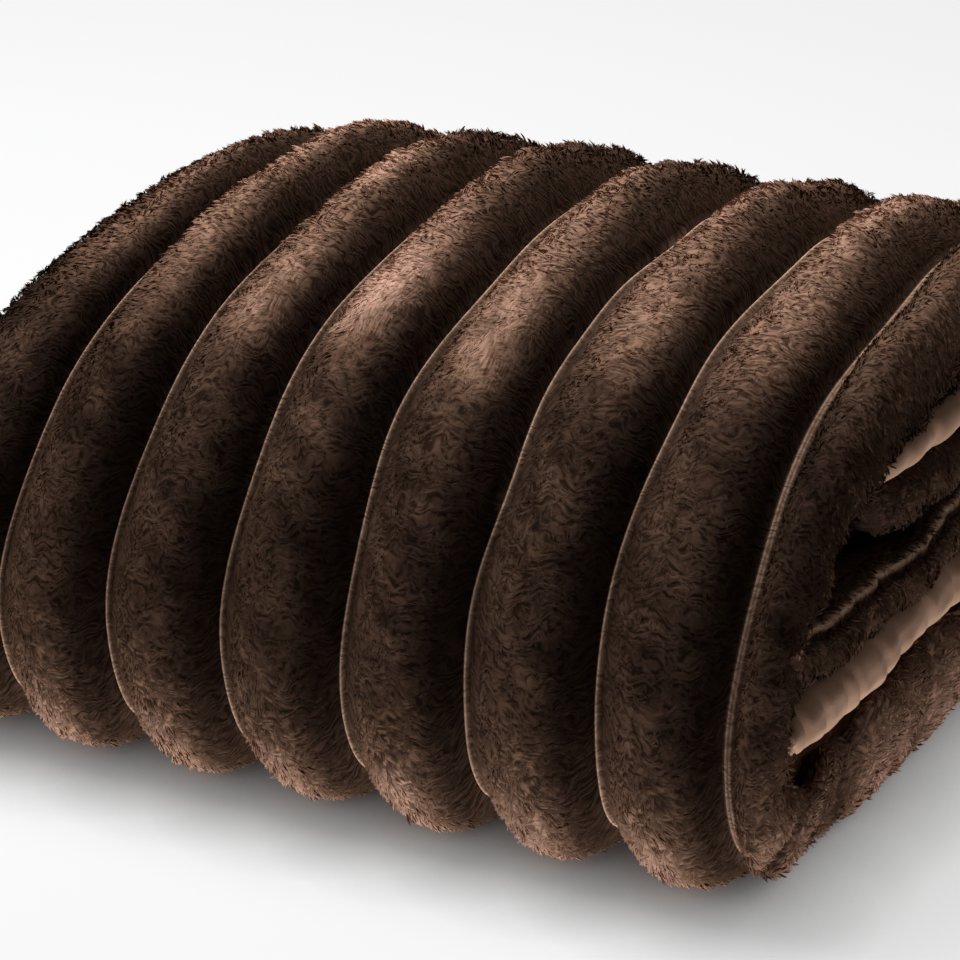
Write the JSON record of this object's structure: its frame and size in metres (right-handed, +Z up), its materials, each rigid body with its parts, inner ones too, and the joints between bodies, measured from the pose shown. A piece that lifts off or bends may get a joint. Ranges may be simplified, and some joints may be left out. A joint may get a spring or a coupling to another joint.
{
  "type": "folded ribbed fleece throw",
  "caption": "Deep-pile ribbed throw with a smooth backing, folded in thirds and then twice over into a loaf-shaped stack with a rounded front.",
  "frame": {"origin": "middle of the footprint, on the surface that the folded throw rests on", "axes": "+X along the stack and across the ribs, towards the end where the layers' edges show; +Y towards the back, away from the rounded front fold; +Z up"},
  "size_m": [0.4176, 0.4136, 0.2148],
  "materials": {
    "ribbed_fleece": "deep soft pile in dark brown, lighter where the pile leans towards the light",
    "smooth_backing": "short smooth pile in warm light brown, matt with a faint sheen"
  },
  "bodies": {
    "root": {"ribbed_face": "ribbed_fleece", "smooth_backing": "smooth_backing"}
  },
  "joints": []
}
